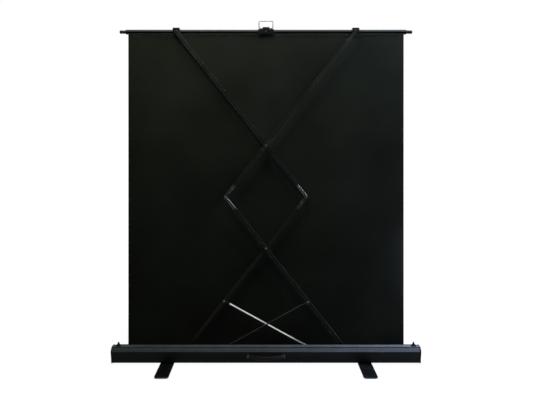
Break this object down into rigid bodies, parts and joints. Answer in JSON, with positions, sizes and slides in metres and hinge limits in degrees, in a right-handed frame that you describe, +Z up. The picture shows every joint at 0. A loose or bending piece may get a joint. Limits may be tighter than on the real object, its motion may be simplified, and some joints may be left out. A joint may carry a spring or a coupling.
{
  "type": "projection screen",
  "caption": "Floor-standing pull-up projection screen: flat black-backed fabric between a bar on a folding scissor stand and a long low case with swivel feet and a carry strap.",
  "frame": {"origin": "on the floor under the middle of the case", "axes": "X along the case, Y from the scissor side to the viewing side, Z up"},
  "size_m": [1.98, 0.508, 2.227],
  "materials": {
    "case_paint": "satin black powder coat on aluminium extrusion",
    "arm_paint": "black anodised aluminium channel",
    "bright_steel": "zinc plated steel",
    "bail_chrome": "chromed steel wire",
    "black_nylon": "moulded black nylon",
    "screen_cloth": "black-backed matte white projection cloth",
    "pad_rubber": "moulded black rubber",
    "roller_metal": "plain aluminium tube",
    "spring_steel": "oiled spring steel"
  },
  "bodies": {
    "case": {"case_floor": "case_paint", "back_shell": "case_paint", "front_shell": "case_paint", "end_cap_left": "black_nylon", "end_cap_right": "black_nylon", "case_screws": "bright_steel", "slide_rail_outer": "bright_steel", "slide_rail_inner": "bright_steel", "roller_bracket_left": "bright_steel", "roller_bracket_right": "bright_steel", "fabric": "screen_cloth", "carry_strap": "black_nylon", "strap_end_left": "black_nylon", "strap_end_right": "black_nylon", "foot_bolts": "bright_steel", "foot_washers": "bright_steel", "hook_bases": "black_nylon"},
    "lift_pin": {"brace_pin_outer": "bright_steel"},
    "outer_lower_arm": {"lower_arm_outer": "arm_paint", "lower_tongue_outer": "bright_steel", "elbow_pin_outer": "bright_steel", "arm_glide_outer": "black_nylon", "lower_cross_pin": "bright_steel"},
    "inner_lower_arm": {"lower_arm_inner": "arm_paint", "lower_tongue_inner": "bright_steel", "elbow_pin_inner": "bright_steel", "arm_glide_inner": "black_nylon", "brace_pin_inner": "bright_steel"},
    "outer_upper_arm": {"upper_arm_outer": "arm_paint", "upper_tongue_outer": "bright_steel", "cross_sleeve": "black_nylon", "upper_cross_pin": "bright_steel"},
    "inner_upper_arm": {"upper_arm_inner": "arm_paint", "upper_tongue_inner": "bright_steel"},
    "bar_rivet": {"centre_rivet": "bright_steel"},
    "bar": {"top_bar": "case_paint", "bar_tip_left": "black_nylon", "bar_tip_right": "black_nylon", "hem": "screen_cloth", "bail_bracket": "black_nylon"},
    "bail_handle": {"bail": "bail_chrome"},
    "right_carriage": {"carriage_right": "black_nylon", "carriage_screw_right": "bright_steel"},
    "left_carriage": {"carriage_left": "black_nylon", "carriage_screw_left": "bright_steel"},
    "outer_brace": {"brace_outer": "arm_paint", "brace_glide_outer": "black_nylon"},
    "inner_brace": {"brace_inner": "bright_steel", "brace_glide_inner": "black_nylon"},
    "fabric_roller": {"roller_tube": "roller_metal", "wound_fabric": "screen_cloth", "roller_plug_left": "black_nylon", "roller_plug_right": "black_nylon", "roller_spring": "spring_steel"},
    "left_foot": {"foot_left": "case_paint", "foot_pads_left": "pad_rubber"},
    "right_foot": {"foot_right": "case_paint", "foot_pads_right": "pad_rubber"},
    "left_hook": {"latch_hook_left": "black_nylon"},
    "right_hook": {"latch_hook_right": "black_nylon"}
  },
  "joints": [
    {"name": "lift", "type": "hinge", "parent": "lift_pin", "child": "outer_lower_arm", "pos_m": [0.27332, 0, 0.38839], "axis": [0, -1, 0], "range_deg": [0, 99.58], "deforming": ["fabric"]},
    {"name": "pin_swing", "type": "hinge", "parent": "case", "child": "lift_pin", "pos_m": [0, 0, 0.0423], "axis": [0, -1, 0], "range_deg": [-49.81, 0.02]},
    {"name": "lower_cross_turn", "type": "hinge", "parent": "outer_lower_arm", "child": "inner_lower_arm", "pos_m": [0, 0, 0.73447], "axis": [0, -1, 0], "range_deg": [-99.6, 0.02]},
    {"name": "elbow_turn", "type": "hinge", "parent": "outer_lower_arm", "child": "outer_upper_arm", "pos_m": [-0.26465, 0, 1.06957], "axis": [0, -1, 0], "range_deg": [-99.6, 0.02]},
    {"name": "upper_cross_turn", "type": "hinge", "parent": "outer_upper_arm", "child": "inner_upper_arm", "pos_m": [0, 0, 1.40467], "axis": [0, -1, 0], "range_deg": [-0.02, 99.6]},
    {"name": "bar_swing", "type": "hinge", "parent": "outer_upper_arm", "child": "bar_rivet", "pos_m": [0.29502, 0, 1.77822], "axis": [0, -1, 0], "range_deg": [-0.02, 99.6]},
    {"name": "bar_level", "type": "hinge", "parent": "bar_rivet", "child": "bar", "pos_m": [0, 0, 2.15178], "axis": [0, -1, 0], "range_deg": [-49.81, 0.02]},
    {"name": "right_carriage_turn", "type": "hinge", "parent": "outer_upper_arm", "child": "right_carriage", "pos_m": [0.59003, 0, 2.15178], "axis": [0, -1, 0], "range_deg": [-0.02, 49.81]},
    {"name": "left_carriage_turn", "type": "hinge", "parent": "inner_upper_arm", "child": "left_carriage", "pos_m": [-0.59003, 0, 2.15178], "axis": [0, -1, 0], "range_deg": [-49.81, 0.02]},
    {"name": "outer_brace_turn", "type": "hinge", "parent": "outer_lower_arm", "child": "outer_brace", "pos_m": [0.27332, 0, 0.38839], "axis": [0, -1, 0], "range_deg": [-77.34, 0.02]},
    {"name": "inner_brace_turn", "type": "hinge", "parent": "inner_lower_arm", "child": "inner_brace", "pos_m": [-0.27332, 0, 0.38839], "axis": [0, -1, 0], "range_deg": [-0.02, 77.34]},
    {"name": "bail_swing", "type": "hinge", "parent": "bar", "child": "bail_handle", "pos_m": [0, 0.0317, 2.17698], "axis": [1, 0, 0], "range_deg": [-90, 90]},
    {"name": "roller_spin", "type": "hinge", "parent": "case", "child": "fabric_roller", "pos_m": [0, 0.053, 0.05], "axis": [1, 0, 0], "continuous": true},
    {"name": "left_foot_swivel", "type": "hinge", "parent": "case", "child": "left_foot", "pos_m": [-0.633, 0, 0], "axis": [0, 0, 1], "range_deg": [0, 90]},
    {"name": "right_foot_swivel", "type": "hinge", "parent": "case", "child": "right_foot", "pos_m": [0.633, 0, 0], "axis": [0, 0, 1], "range_deg": [-90, 0]},
    {"name": "left_hook_turn", "type": "hinge", "parent": "case", "child": "left_hook", "pos_m": [-0.949, -0.046, 0.1203], "axis": [-1, 0, 0], "range_deg": [0, 55]},
    {"name": "right_hook_turn", "type": "hinge", "parent": "case", "child": "right_hook", "pos_m": [0.949, -0.046, 0.1203], "axis": [-1, 0, 0], "range_deg": [0, 55]}
  ],
  "couplings": [
    {"joint": "pin_swing", "follows": "lift", "ratio": -0.5},
    {"joint": "lower_cross_turn", "follows": "lift", "ratio": -1},
    {"joint": "elbow_turn", "follows": "lift", "ratio": -1},
    {"joint": "upper_cross_turn", "follows": "lift", "ratio": 1},
    {"joint": "bar_swing", "follows": "lift", "ratio": 1},
    {"joint": "bar_level", "follows": "lift", "ratio": -0.5},
    {"joint": "right_carriage_turn", "follows": "lift", "ratio": 0.5},
    {"joint": "left_carriage_turn", "follows": "lift", "ratio": -0.5},
    {"joint": "outer_brace_turn", "follows": "lift", "ratio": -0.77647},
    {"joint": "inner_brace_turn", "follows": "lift", "ratio": 0.77647}
  ]
}
